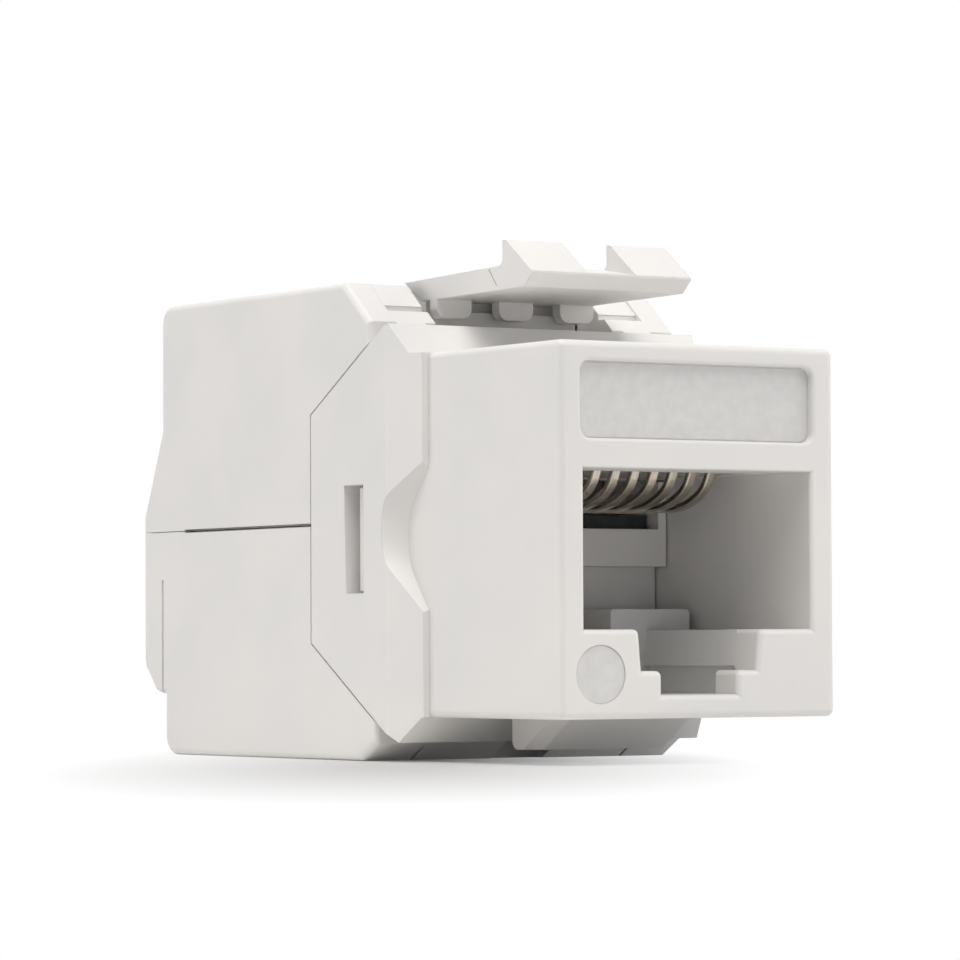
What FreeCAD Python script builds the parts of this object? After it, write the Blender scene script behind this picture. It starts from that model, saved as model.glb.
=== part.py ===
"""Toolless keystone jack with an eight-way plug port, two hinged wire caps and a panel latch.

Working frame: x across, y back from the front face, z up from the front box's underside, in mm.
keep() moves each solid so that the origin is the bottom centre of the whole jack.
"""
import FreeCAD
import Part
import math
import os

V = FreeCAD.Vector
os.makedirs("parts", exist_ok=True)

# ---------------------------------------------------------------- driving dimensions
# front box and its plug port
FRONT_W = 14.4
FRONT_H = 16.05
FRONT_EDGE_R = 0.3
PORT_W = 11.9
PORT_H = 6.85
PORT_FLOOR = 3.8
PORT_RIM_R = 0.2
PORT_TOP_R = 0.08
STEP_EDGE_R = 0.25
FRONT_WALL = 1.7
CHANNEL_W = 6.0
CHANNEL_DRAFT = 0.15
CHANNEL_FLOOR = 2.03
CHANNEL_D = 8.6
TAB_W = 3.95
TAB_FLOOR = 1.0
TAB_ROOM_W = 6.6
TAB_ROOM_TOP = 2.22
STOP_IN = 1.2
STOP_OUT = 5.5
STOP_H = 0.95
STOP_R = 0.2
LABEL_W = 12.2
LABEL_H = 3.3
LABEL_BOTTOM = 11.9
LABEL_R = 0.5
LABEL_D = 0.4
LABEL_RIM_R = 0.15
BADGE_R = 1.25
BADGE_X = -5.15
BADGE_Z = 1.9
BADGE_D = 0.06

# flared side plates behind the front box
REAR_W = 16.6
PLATE_T = 1.3
FLARE_STEP = 0.3
FLARE_START = 10.4
FLARE_END = 12.3
ROOF_RAMP_Y = 11.1
APEX_Y = 12.15
APEX_Z = 17.41
PLATE_END = 18.7
SHOULDER_TOP = 13.6
SHOULDER_BOTTOM = 3.3
HEEL_Y = 11.65
HEEL_Z = -1.12
FLOOR_RAMP_Y = 10.5
BULKHEAD_END = 12.3
POCKET_FLOOR = 0.6
POCKET_ROOF = 16.0
DECK_T = 1.2
DECK_END = 17.2
DECK_LAP = 0.2
WINDOW_Y = 14.15
WINDOW_L = 1.47
WINDOW_RAKE = 0.18
WINDOW_Z = 5.5
WINDOW_H = 4.83
SCALLOP_REAR = 12.62
SCALLOP_RISE = 1.165
SCALLOP_FALL = 1.254
SCALLOP_FLAT_TOP = 9.38
SCALLOP_FLAT_BOTTOM = 7.16
SCALLOP_R = 2.7
SCALLOP_LEAN_Y = 0.55
SCALLOP_LEAN_Z = 0.35

# panel latch on top and fixed hook below
LATCH_W = 8.5
LATCH_FRONT = 6.55
LATCH_LIP = 7.19
LIP_RISE = 0.1
LIP_FACE = 0.12
LATCH_END = 17.08
LATCH_ROOT = 15.7
LATCH_UNDER = 18.75
LATCH_TOP_FRONT = 19.52
LATCH_TOP = 19.9
LATCH_TOP_REAR = 19.68
TOOTH_REAR = 8.9
TOOTH_RIDGE = 0.25
TOOTH_TOP = 21.0
TOOTH_GAP = 2.6
TOOTH_SETBACK = 0.05
TOOTH_ROOT = 0.5
PEDESTAL_W = 7.6
TOOTH_BASE_R = 0.35
PARTING_LINE_Y = 9.8
PARTING_LINE_W = 0.09
PARTING_LINE_D = 0.06
PARTING_LINE_LEAN = 0.4
PEDESTAL_FRONT = 15.2
PEDESTAL_STEP = 18.3
ROOT_L = 0.3
RIB_W = 1.84
RIB_L = 0.62
RIB_DROP = 0.83
RIB_END_R = 0.45
RIB_CLEAR = 0.25
RIB_ROOT = 0.3
HOOK_W = 7.32
HOOK_FRONT = 5.2
HOOK_FLAT = 7.4
HOOK_REAR = 9.2
HOOK_BOTTOM = -1.43
HOOK_CHAMFER = 0.5
HOOK_REAR_R = 0.4

# wire caps
SEAM = 0.08
CAP_FIT = 0.03
PARTING = 8.64
PARTING_GROOVE_W = 0.15
PARTING_GROOVE_D = 0.5
PARTING_GROOVE_END = 30.5
CAP_WALL = 1.2
CAP_EDGE_R = 0.3
UPPER_FRONT = 13.6
UPPER_BEVEL_Z = 17.6
UPPER_BEVEL_Y = 15.83
UPPER_TOP = 19.45
CAP_REAR = 32.8
UPPER_SLOPE_Z = 13.5
CAP_CORNER_R = 0.9
BULGE_REAR = 34.6
BULGE_TOP = 9.4
BULGE_ROOT_Z = 0.9
BULGE_CHIN_Y = 33.4
BULGE_CHIN_Z = 1.0
BULGE_CHIN_R = 0.5
BULGE_HEEL_Z = 2.3
BULGE_HEEL_R = 0.8
LOWER_FRONT = 13.2
LOWER_CHAMFER_Y = 14.5
LOWER_CHAMFER_Z = -1.2
LOWER_REAR = 32.5
FLOOR_Z = -1.96
NOTCH_W = 9.6
NOTCH_END = 18.4
PAD_W = 2.1
PAD_RECESS = 0.16
PAD_BOTTOM = 18.4
PAD_UNDERCUT = 0.25
PAD_UNDERCUT_D = 0.5
FLOOR_NOTCH_W = 2.8
FLOOR_NOTCH_END = 15.2
FLOOR_SLIT_X = 5.65
FLOOR_SLIT_W = 0.16
SIDE_LINE_Y = 32.68
SIDE_LINE_W = 0.16
SIDE_LINE_D = 0.15
SIDE_LINE_BOTTOM = 0.9
SIDE_LINE_TOP = 6.35
CABLE_D = 7.2
CABLE_LEAD = 0.4

# hinges of the caps
UPPER_HINGE_Y = 12.96
UPPER_HINGE_Z = 16.35
LOWER_HINGE_Y = 12.47
LOWER_HINGE_Z = 0.22
EAR_R = 0.7
EAR_T = 1.55
EAR_SIDE_GAP = 0.1
EAR_LEAN = 52.0
EAR_LAP = 0.9
EAR_NECK = 1.6
HINGE_PIN_R = 0.45
HINGE_PIN_L = 0.6
HINGE_CLEAR = 0.05
EAR_SLOT_AHEAD = 0.8
EAR_SLOT_W = 1.9

# contact carrier and plug contacts
SLIDE_FIT = 0.1
NOSE_FRONT = 10.9
NOSE_STEP = 0.9
NOSE_STEP_Z = 6.7
NOSE_TOP = 8.4
PILLAR_W = 0.42
FLANGE_T = 1.0
FLANGE_H = 8.7
TONGUE_W = 9.9
TONGUE_FRONT = 3.1
TONGUE_H = 2.35
COMB_W = 0.62
COMB_H = 1.95
COMB_FRONT = 3.5
COMB_END = 9.2
CONTACT_COUNT = 8
CONTACT_PITCH = 1.016
CONTACT_W = 0.46
CONTACT_T = 0.3
CONTACT_EDGE = 0.06
CONTACT_BEND_Y = 7.25
CONTACT_BEND_R = 4.8
CONTACT_BEND_DEG = 31.0
CONTACT_CURL_R = 1.6
CONTACT_CURL_DEG = 63.0
CONTACT_TIP_L = 0.9
CONTACT_LAP = 1.25
ARM_T = 0.6
ARM_END = 16.9
CATCH_FRONT_OUT = 0.6
CATCH_REAR_OUT = 0.89
CATCH_REAR_GAP = 0.35

# circuit board, terminal blocks and insulation-displacement terminals
BOARD_T = 0.8
BOARD_SIDE_GAP = 0.1
BOARD_FRONT = 11.7
BOARD_NECK_END = 13.5
BLOCK_SIDE_GAP = 0.3
BLOCK_FRONT = 17.5
BLOCK_END = 26.9
BLOCK_H = 5.16
BLOCK_ROOM = 1.0
GROOVE_W = 1.5
GROOVE_FLOOR = 2.76
GROOVE_LEAD = 0.35
TERMINAL_COUNT = 4
TERMINAL_STAGGER = 3.0
TERMINAL_UPPER_Y = 20.6
TERMINAL_LOWER_Y = 22.1
TERMINAL_W = 2.6
TERMINAL_T = 0.5
TERMINAL_H = 4.86
TERMINAL_SLIT = 0.3
TERMINAL_SLIT_BOTTOM = 2.5
TERMINAL_MOUTH = 0.9
TERMINAL_MOUTH_D = 0.7
TERMINAL_CORNER = 0.4
TERMINAL_PIN_W = 0.6
TERMINAL_FIT = 0.05
PRESSER_W = 1.1
PRESSER_L = 1.0
PRESSER_GAP = 0.5
PRESSER_DIP = 1.0

# ---------------------------------------------------------------- derived places
LENGTH = BULGE_REAR
PORT_CEILING = PORT_FLOOR + PORT_H
PLATE_IN = REAR_W / 2 - PLATE_T
CAP_IN = REAR_W / 2 - CAP_WALL
BOARD_Z = PARTING - BOARD_T / 2
EAR_OUT = PLATE_IN - EAR_SIDE_GAP
EAR_SLOT_IN = PLATE_IN - EAR_SLOT_W
DECK_W = NOTCH_W - 2 * SEAM
BOARD_W = 2 * (EAR_OUT - ARM_T - BOARD_SIDE_GAP)
BLOCK_W = 2 * (CAP_IN - BLOCK_SIDE_GAP)
TERMINAL_PITCH = BLOCK_W / TERMINAL_COUNT
FLARE_W = FRONT_W + 2 * FLARE_STEP
DECK_TOP = POCKET_ROOF + DECK_T
FAR = 60.0
OVERRUN = 1.0
NEAR = 0.01


# ---------------------------------------------------------------- helpers
def block(x0, x1, y0, y1, z0, z1):
    """Box between two corners."""
    return Part.makeBox(x1 - x0, y1 - y0, z1 - z0, V(x0, y0, z0))


def rounded_face(corners, place):
    """Face inside (a, b) corners; a third value rounds that corner to its radius."""
    edges = []
    starts, ends = [], []
    for i, corner in enumerate(corners):
        here = place(corner[0], corner[1])
        if len(corner) == 2:
            starts.append(here)
            ends.append(here)
            continue
        last = corners[i - 1]
        following = corners[(i + 1) % len(corners)]
        back = (place(last[0], last[1]) - here).normalize()
        ahead = (place(following[0], following[1]) - here).normalize()
        half = back.getAngle(ahead) / 2
        reach = corner[2] / math.tan(half)
        middle = (back + ahead).normalize() * (corner[2] / math.sin(half) - corner[2])
        starts.append(here + back * reach)
        ends.append(here + ahead * reach)
        edges.append(Part.Arc(starts[-1], here + middle, ends[-1]).toShape())
    for i, end in enumerate(ends):
        begin = starts[(i + 1) % len(starts)]
        if end.distanceToPoint(begin) > 1e-6:
            edges.append(Part.LineSegment(end, begin).toShape())
    return Part.Face(Part.Wire(Part.__sortEdges__(edges)))


def across(corners, x0, x1):
    """Side-view outline of (y, z) corners, swept from x0 to x1."""
    return rounded_face(corners, lambda y, z: V(x0, y, z)).extrude(V(x1 - x0, 0, 0))


def along(corners, y0, y1):
    """Front-view outline of (x, z) corners, swept from y0 to y1."""
    return rounded_face(corners, lambda x, z: V(x, y0, z)).extrude(V(0, y1 - y0, 0))


def upward(corners, z0, z1):
    """Plan outline of (x, y) corners, swept from z0 to z1."""
    return rounded_face(corners, lambda x, y: V(x, y, z0)).extrude(V(0, 0, z1 - z0))


def mirrored(shape):
    """The same shape on the other side of the middle plane."""
    return shape.mirror(V(0, 0, 0), V(1, 0, 0))


def both(shape):
    """A shape and its mirror image."""
    return [shape, mirrored(shape)]


def joined(base, extras):
    """One solid from a base and what is moulded on it."""
    return base.multiFuse(extras).removeSplitter()


def edges_where(shape, test):
    """Edges whose middle passes a test of its bounding box."""
    return [edge for edge in shape.Edges if test(edge.BoundBox)]


def keep(name, shape):
    """Write one node with the origin at the bottom centre of the jack."""
    solid = shape.copy()
    solid.translate(V(0, -LENGTH / 2, -FLOOR_Z))
    if not solid.isValid() or len(solid.Solids) != 1:
        print("CHECK", name, "solids", len(solid.Solids), "valid", solid.isValid())
    solid.Solids[0].exportStep("parts/" + name + ".step")


# ---------------------------------------------------------------- side-view outlines shared by several pieces
def plate_outline():
    """The flared rear part of the housing, seen from the side."""
    return [
        (FLARE_START - OVERRUN, 0.0), (FLOOR_RAMP_Y, 0.0), (HEEL_Y, HEEL_Z), (PLATE_END, SHOULDER_BOTTOM),
        (PLATE_END, SHOULDER_TOP), (APEX_Y, APEX_Z), (ROOF_RAMP_Y, FRONT_H), (FLARE_START - OVERRUN, FRONT_H),
    ]


def plate_zone():
    """The room that the wire caps leave for the side plates, seam included."""
    face = rounded_face(plate_outline(), lambda y, z: V(-REAR_W, y, z))
    return face.makeOffset2D(SEAM, 2).extrude(V(2 * REAR_W, 0, 0))


# ---------------------------------------------------------------- housing
def front_box():
    box = block(-FRONT_W / 2, FRONT_W / 2, 0, ROOF_RAMP_Y, 0, FRONT_H)
    outer = edges_where(box, lambda b: b.YMax < NEAR or (b.YLength > 1.0))
    return box.makeFillet(FRONT_EDGE_R, outer)


def flared_rear():
    plan = [
        (FLARE_W / 2, FLARE_START), (REAR_W / 2, FLARE_END), (REAR_W / 2, PLATE_END),
        (-REAR_W / 2, PLATE_END), (-REAR_W / 2, FLARE_END), (-FLARE_W / 2, FLARE_START),
    ]
    return across(plate_outline(), -REAR_W, REAR_W).common(upward(plan, -FAR, FAR))


def thumb_scallop():
    """Hollow in the front edge of one side plate; its floor leans back and up towards the outside."""
    reach = SCALLOP_REAR - FLARE_START + 2 * OVERRUN

    def section(x, lean):
        rear = SCALLOP_REAR - lean * SCALLOP_LEAN_Y
        top = SCALLOP_FLAT_TOP - lean * SCALLOP_LEAN_Z
        bottom = SCALLOP_FLAT_BOTTOM - lean * SCALLOP_LEAN_Z
        outline = [
            (rear - reach, bottom - reach * SCALLOP_FALL), (rear, bottom, SCALLOP_R), (rear, top, SCALLOP_R),
            (rear - reach, top + reach * SCALLOP_RISE),
        ]
        return rounded_face(outline, lambda y, z: V(x, y, z)).OuterWire

    return Part.makeLoft([section(FRONT_W / 2, 1), section(REAR_W / 2 + NEAR, 0)], True, True)


def plug_opening():
    """Cut through the front wall for the plug, its latch tab and the tab's narrow nose."""
    side = [
        (PORT_W / 2, PORT_CEILING), (PORT_W / 2, PORT_FLOOR), (CHANNEL_W / 2 + CHANNEL_DRAFT, PORT_FLOOR),
        (CHANNEL_W / 2, CHANNEL_FLOOR), (TAB_W / 2, CHANNEL_FLOOR), (TAB_W / 2, TAB_FLOOR),
    ]
    return along(side + [(-x, z) for x, z in reversed(side)], -1, FRONT_WALL)


def plug_room():
    """Cuts behind the front wall: the plug's room, the tab's channel and the room under its shoulders."""
    port = block(-PORT_W / 2, PORT_W / 2, FRONT_WALL - SLIDE_FIT, BULKHEAD_END + OVERRUN, PORT_FLOOR, PORT_CEILING)
    top = CHANNEL_W / 2 + CHANNEL_DRAFT
    channel = along([
        (-top, PORT_FLOOR), (-CHANNEL_W / 2, CHANNEL_FLOOR), (CHANNEL_W / 2, CHANNEL_FLOOR), (top, PORT_FLOOR),
        (top, PORT_FLOOR + 1), (-top, PORT_FLOOR + 1),
    ], FRONT_WALL - SLIDE_FIT, CHANNEL_D)
    shoulders = block(-TAB_ROOM_W / 2, TAB_ROOM_W / 2, FRONT_WALL, CHANNEL_D, TAB_FLOOR, TAB_ROOM_TOP)
    return [port, channel, shoulders]


def plug_stop():
    """Raised pad at the rear of the port floor that stops the plug."""
    return along([
        (STOP_IN, PORT_FLOOR - STOP_H), (STOP_OUT, PORT_FLOOR - STOP_H), (STOP_OUT, PORT_FLOOR + STOP_H, STOP_R),
        (STOP_IN, PORT_FLOOR + STOP_H, STOP_R),
    ], CHANNEL_D, NOSE_FRONT + NOSE_STEP - SLIDE_FIT)


def bottom_hook():
    hook = across([
        (HOOK_FRONT, 0), (HOOK_FLAT, HOOK_BOTTOM), (HOOK_REAR, HOOK_BOTTOM, HOOK_REAR_R),
        (HOOK_REAR, OVERRUN), (HOOK_FRONT, OVERRUN),
    ], -HOOK_W / 2, HOOK_W / 2)
    ramp = edges_where(hook, lambda b: b.XLength < NEAR and b.YMax < HOOK_FLAT + NEAR and b.ZMax < NEAR)
    return hook.makeChamfer(HOOK_CHAMFER, ramp)


def side_rims(body):
    """Front edges of the port's two sides."""
    return edges_where(body, lambda b: b.YMax < NEAR and b.XLength < NEAR and b.ZLength > 1.0
                       and abs(abs(b.XMin) - PORT_W / 2) < NEAR)


def top_rim(body):
    """Front edge of the port's ceiling."""
    return edges_where(body, lambda b: b.YMax < NEAR and b.ZLength < NEAR and abs(b.ZMin - PORT_CEILING) < NEAR)


def label_rim(body):
    """Front edges of the label recess."""
    return edges_where(body, lambda b: b.YMax < NEAR and b.ZMin > LABEL_BOTTOM - NEAR
                       and b.ZMax < LABEL_BOTTOM + LABEL_H + NEAR)


def step_edges(body):
    """Front edges of the port floor and of the steps below it, and the steps' upper corners."""
    def on_front(b):
        inside = abs(b.XMin) < PORT_W / 2 + NEAR and abs(b.XMax) < PORT_W / 2 + NEAR
        return b.YMax < NEAR and inside and b.ZMin > TAB_FLOOR - NEAR and b.ZMax < PORT_FLOOR + NEAR

    def on_corner(b):
        runs_back = b.YLength > FRONT_WALL - NEAR and b.XLength < NEAR and b.ZLength < NEAR
        at_port = abs(b.ZMin - PORT_FLOOR) < NEAR and abs(abs(b.XMin) - CHANNEL_W / 2 - CHANNEL_DRAFT) < NEAR
        at_channel = abs(b.ZMin - CHANNEL_FLOOR) < NEAR and abs(abs(b.XMin) - TAB_W / 2) < NEAR
        return runs_back and (at_port or at_channel)

    return edges_where(body, lambda b: on_front(b) or on_corner(b))


def front_housing():
    body = joined(front_box(), [flared_rear()])
    label = along([
        (-LABEL_W / 2, LABEL_BOTTOM, LABEL_R), (LABEL_W / 2, LABEL_BOTTOM, LABEL_R),
        (LABEL_W / 2, LABEL_BOTTOM + LABEL_H, LABEL_R), (-LABEL_W / 2, LABEL_BOTTOM + LABEL_H, LABEL_R),
    ], -1, LABEL_D)
    badge = Part.makeCylinder(BADGE_R, 1 + BADGE_D, V(BADGE_X, -1, BADGE_Z), V(0, 1, 0))
    tongue_room = block(-TONGUE_W / 2 - SLIDE_FIT, TONGUE_W / 2 + SLIDE_FIT, TONGUE_FRONT - SLIDE_FIT,
                        BULKHEAD_END + OVERRUN, PORT_CEILING - SLIDE_FIT, PORT_CEILING + TONGUE_H + 2 * SLIDE_FIT)
    pocket = block(-PLATE_IN, PLATE_IN, BULKHEAD_END, FAR, POCKET_FLOOR, POCKET_ROOF)
    upper_slot = block(EAR_SLOT_IN, PLATE_IN, UPPER_HINGE_Y - EAR_SLOT_AHEAD, FAR, SHOULDER_TOP, FAR)
    lower_slot = block(EAR_SLOT_IN, PLATE_IN, LOWER_HINGE_Y - EAR_SLOT_AHEAD, FAR, -FAR, SHOULDER_BOTTOM)
    upper_hole = Part.makeCylinder(HINGE_PIN_R + HINGE_CLEAR, HINGE_PIN_L + 2 * EAR_SIDE_GAP,
                                   V(PLATE_IN - EAR_SIDE_GAP, UPPER_HINGE_Y, UPPER_HINGE_Z), V(1, 0, 0))
    lower_hole = Part.makeCylinder(HINGE_PIN_R + HINGE_CLEAR, HINGE_PIN_L + 2 * EAR_SIDE_GAP,
                                   V(PLATE_IN - EAR_SIDE_GAP, LOWER_HINGE_Y, LOWER_HINGE_Z), V(1, 0, 0))
    window = across([
        (WINDOW_Y, WINDOW_Z), (WINDOW_Y + WINDOW_L, WINDOW_Z),
        (WINDOW_Y + WINDOW_L + WINDOW_RAKE, WINDOW_Z + WINDOW_H), (WINDOW_Y, WINDOW_Z + WINDOW_H),
    ], PLATE_IN - 1, FAR)
    body = body.cut(plug_opening())
    body = body.makeFillet(STEP_EDGE_R, step_edges(body))
    body = body.makeFillet(PORT_RIM_R, side_rims(body))
    body = body.makeFillet(PORT_TOP_R, top_rim(body))
    body = body.cut(label)
    body = body.makeFillet(LABEL_RIM_R, label_rim(body))
    side_cuts = [thumb_scallop(), upper_slot, lower_slot, upper_hole, lower_hole, window]
    cuts = plug_room() + [badge, tongue_room, pocket]
    for cut in side_cuts:
        cuts += both(cut)
    body = body.cut(cuts)
    deck = block(-DECK_W / 2, DECK_W / 2, BULKHEAD_END - DECK_LAP, DECK_END, POCKET_ROOF, DECK_TOP)
    slope = (LATCH_TOP_REAR - LATCH_UNDER) / (LATCH_END - LATCH_ROOT)
    pedestal = across([
        (PEDESTAL_FRONT, POCKET_ROOF), (LATCH_ROOT + ROOT_L, POCKET_ROOF),
        (LATCH_ROOT + ROOT_L, LATCH_UNDER + ROOT_L * slope), (LATCH_ROOT, LATCH_UNDER),
        (LATCH_ROOT, PEDESTAL_STEP), (PEDESTAL_FRONT, PEDESTAL_STEP),
    ], -PEDESTAL_W / 2, PEDESTAL_W / 2)
    return joined(body, [deck, pedestal, bottom_hook()] + both(plug_stop()))


# ---------------------------------------------------------------- panel latch
def panel_latch():
    arm = across([
        (LATCH_LIP, LATCH_UNDER + LIP_RISE), (LATCH_ROOT, LATCH_UNDER), (LATCH_END, LATCH_TOP_REAR),
        (TOOTH_REAR, LATCH_TOP), (LATCH_FRONT, LATCH_TOP_FRONT), (LATCH_FRONT, LATCH_TOP_FRONT - LIP_FACE),
    ], -LATCH_W / 2, LATCH_W / 2)
    base = TOOTH_REAR + 2 * TOOTH_BASE_R
    top_slope = (LATCH_TOP - LATCH_TOP_REAR) / (LATCH_END - TOOTH_REAR)
    tooth = across([
        (LATCH_FRONT + TOOTH_SETBACK, LATCH_TOP_FRONT - LIP_FACE),
        (base, LATCH_TOP - TOOTH_ROOT),
        (base, LATCH_TOP - top_slope * 2 * TOOTH_BASE_R), (TOOTH_REAR, LATCH_TOP, TOOTH_BASE_R),
        (TOOTH_REAR, TOOTH_TOP), (TOOTH_REAR - TOOTH_RIDGE, TOOTH_TOP),
        (LATCH_FRONT + TOOTH_SETBACK, LATCH_TOP_FRONT),
    ], TOOTH_GAP / 2, LATCH_W / 2)
    pitch = (LATCH_W - RIB_W) / 2
    rib_rear = PEDESTAL_FRONT - RIB_CLEAR
    ribs = [along([
        (x - RIB_W / 2, LATCH_UNDER - RIB_DROP, RIB_END_R), (x + RIB_W / 2, LATCH_UNDER - RIB_DROP, RIB_END_R),
        (x + RIB_W / 2, LATCH_UNDER + RIB_ROOT), (x - RIB_W / 2, LATCH_UNDER + RIB_ROOT),
    ], rib_rear - RIB_L, rib_rear) for x in (-pitch, 0, pitch)]
    half = PARTING_LINE_W / 2
    upper = PARTING_LINE_Y + PARTING_LINE_LEAN
    lower = PARTING_LINE_Y - PARTING_LINE_LEAN
    line = across([
        (upper - half, LATCH_TOP + SLIDE_FIT), (lower - half, LATCH_UNDER + RIB_ROOT),
        (lower + half, LATCH_UNDER + RIB_ROOT), (upper + half, LATCH_TOP + SLIDE_FIT),
    ], LATCH_W / 2 - PARTING_LINE_D, LATCH_W / 2 + OVERRUN)
    return joined(arm, both(tooth) + ribs).cut(both(line))


# ---------------------------------------------------------------- wire caps
def hinge_ear(hinge_y, hinge_z, way, corners):
    """Ear with its boss and stub pin; it runs from the boss, up (1) or down (-1), through the corners."""
    inner = EAR_OUT - EAR_T
    lean = math.radians(EAR_LEAN)
    reach_y = EAR_R * math.cos(lean)
    reach_z = EAR_R * math.sin(lean) * way
    web = across([(hinge_y - reach_y, hinge_z + reach_z)] + corners + [(hinge_y + reach_y, hinge_z - reach_z)],
                 inner, EAR_OUT)
    boss = Part.makeCylinder(EAR_R, EAR_T, V(inner, hinge_y, hinge_z), V(1, 0, 0))
    pin = Part.makeCylinder(HINGE_PIN_R, HINGE_PIN_L + EAR_SIDE_GAP, V(EAR_OUT, hinge_y, hinge_z), V(1, 0, 0))
    return joined(web, [boss, pin])


def pressers(places, tip, root):
    """Bars that push the wires into the terminals, ahead of and behind each one."""
    low, high = min(tip, root), max(tip, root)
    reach = TERMINAL_T / 2 + PRESSER_GAP
    bars = []
    for x, y in places:
        left, right = x - PRESSER_W / 2, x + PRESSER_W / 2
        bars.append(block(left, right, y - reach - PRESSER_L, y - reach, low, high))
        bars.append(block(left, right, y + reach, y + reach + PRESSER_L, low, high))
    return bars


def cable_hole():
    """Round way out for the cable, with a chamfered rim."""
    hole = Part.makeCylinder(CABLE_D / 2, FAR, V(0, BLOCK_END, PARTING), V(0, 1, 0))
    rim = Part.makeCone(CABLE_D / 2, CABLE_D / 2 + 2 * CABLE_LEAD, 2 * CABLE_LEAD,
                        V(0, BULGE_REAR - CABLE_LEAD, PARTING), V(0, 1, 0))
    return hole.fuse(rim)


def parting_groove():
    """Shadow groove along one side where the two caps meet."""
    return block(REAR_W / 2 - PARTING_GROOVE_D, REAR_W, -1, PARTING_GROOVE_END, PARTING - PARTING_GROOVE_W / 2,
                 PARTING + PARTING_GROOVE_W / 2)


def bevel_pad():
    """Recess and undercut in the cap's front bevel, between the latch notch and the side wall."""
    slope = (UPPER_BEVEL_Y - UPPER_FRONT) / (UPPER_TOP - UPPER_BEVEL_Z)
    bottom = PAD_BOTTOM - PAD_UNDERCUT
    surface = UPPER_FRONT + (bottom - UPPER_BEVEL_Z) * slope
    top = UPPER_TOP + OVERRUN
    inner = NOTCH_W / 2 - OVERRUN
    recess = across([
        (UPPER_FRONT - 1, bottom), (surface + PAD_RECESS, bottom),
        (surface + PAD_RECESS + (top - bottom) * slope, top), (UPPER_FRONT - 1, top),
    ], inner, NOTCH_W / 2 + PAD_W)
    undercut = block(inner, NOTCH_W / 2 + PAD_W, UPPER_FRONT - 1, surface + PAD_UNDERCUT_D, bottom, PAD_BOTTOM)
    return recess.fuse(undercut)


def upper_wire_cap():
    shell = across([
        (UPPER_FRONT, 0), (UPPER_FRONT, UPPER_BEVEL_Z), (UPPER_BEVEL_Y, UPPER_TOP),
        (CAP_REAR, UPPER_TOP, CAP_CORNER_R), (CAP_REAR, UPPER_SLOPE_Z), (BULGE_REAR, BULGE_TOP), (BULGE_REAR, 0),
    ], -REAR_W / 2, REAR_W / 2)
    outer = edges_where(shell, lambda b: b.XLength < NEAR and b.ZMin > -NEAR and b.ZMax > 1.0)
    shell = shell.makeFillet(CAP_EDGE_R, outer)
    hollow = across([
        (BLOCK_FRONT - BLOCK_ROOM, 0), (BLOCK_FRONT - BLOCK_ROOM, UPPER_TOP - CAP_WALL),
        (CAP_REAR - CAP_WALL, UPPER_TOP - CAP_WALL), (CAP_REAR - CAP_WALL, 0),
    ], -CAP_IN, CAP_IN)
    below = block(-REAR_W, REAR_W, -1, FAR, -1, PARTING + CAP_FIT / 2)
    notch = block(-NOTCH_W / 2, NOTCH_W / 2, -1, NOTCH_END, 0, FAR)
    shell = shell.cut([hollow, below, notch, plate_zone(), cable_hole()] + both(parting_groove())
                      + both(bevel_pad()))
    ear = hinge_ear(UPPER_HINGE_Y, UPPER_HINGE_Z, 1, [
        (UPPER_FRONT, UPPER_BEVEL_Z), (UPPER_FRONT + EAR_LAP, UPPER_BEVEL_Z + EAR_LAP / 2),
        (UPPER_FRONT + EAR_NECK, UPPER_BEVEL_Z - EAR_SIDE_GAP),
    ])
    places = terminal_places(TERMINAL_UPPER_Y)
    top = PARTING + BOARD_T / 2 + BLOCK_H
    bars = pressers(places, top - PRESSER_DIP, UPPER_TOP - CAP_WALL / 2)
    return joined(shell, both(ear) + bars)


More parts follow.
